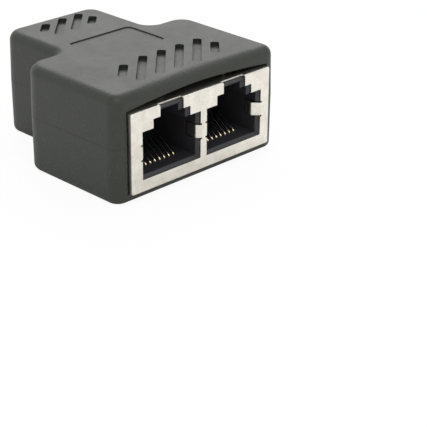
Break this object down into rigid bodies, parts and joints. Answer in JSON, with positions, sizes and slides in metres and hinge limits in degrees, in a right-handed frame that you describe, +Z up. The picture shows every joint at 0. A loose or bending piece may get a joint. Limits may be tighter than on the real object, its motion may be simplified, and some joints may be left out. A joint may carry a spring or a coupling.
{
  "type": "network port splitter",
  "caption": "T-shaped splitter for network plugs: a port on the end of the stem feeds a side-by-side pair on the block.",
  "frame": {"origin": "on the table, under the middle of the body's box", "axes": "+Z up, +Y from the paired ports to the single port, +X to the right when looking into the paired ports"},
  "size_m": [0.036, 0.0388, 0.018],
  "materials": {
    "casing_plastic": "fine spark texture",
    "nickel_sheet": "satin nickel plate",
    "jack_plastic": "smooth moulded",
    "gold_contact": "gold plate",
    "board_laminate": "green solder mask",
    "solder": "bright solder"
  },
  "bodies": {
    "root": {"circuit_board": "board_laminate", "input_port_carrier": "jack_plastic", "input_port_contact_1": "gold_contact", "input_port_contact_2": "gold_contact", "input_port_contact_3": "gold_contact", "input_port_contact_4": "gold_contact", "input_port_contact_5": "gold_contact", "input_port_contact_6": "gold_contact", "input_port_contact_7": "gold_contact", "input_port_contact_8": "gold_contact", "input_port_solder": "solder", "left_port_carrier": "jack_plastic", "left_port_contact_1": "gold_contact", "left_port_contact_2": "gold_contact", "left_port_contact_3": "gold_contact", "left_port_contact_4": "gold_contact", "left_port_contact_5": "gold_contact", "left_port_contact_6": "gold_contact", "left_port_contact_7": "gold_contact", "left_port_contact_8": "gold_contact", "left_port_solder": "solder", "lower_shell": "casing_plastic", "one_port_ground_solder": "solder", "one_port_housing": "jack_plastic", "one_port_shield": "nickel_sheet", "right_port_carrier": "jack_plastic", "right_port_contact_1": "gold_contact", "right_port_contact_2": "gold_contact", "right_port_contact_3": "gold_contact", "right_port_contact_4": "gold_contact", "right_port_contact_5": "gold_contact", "right_port_contact_6": "gold_contact", "right_port_contact_7": "gold_contact", "right_port_contact_8": "gold_contact", "right_port_solder": "solder", "two_port_ground_solder": "solder", "two_port_housing": "jack_plastic", "two_port_shield": "nickel_sheet", "upper_shell": "casing_plastic"}
  },
  "joints": []
}
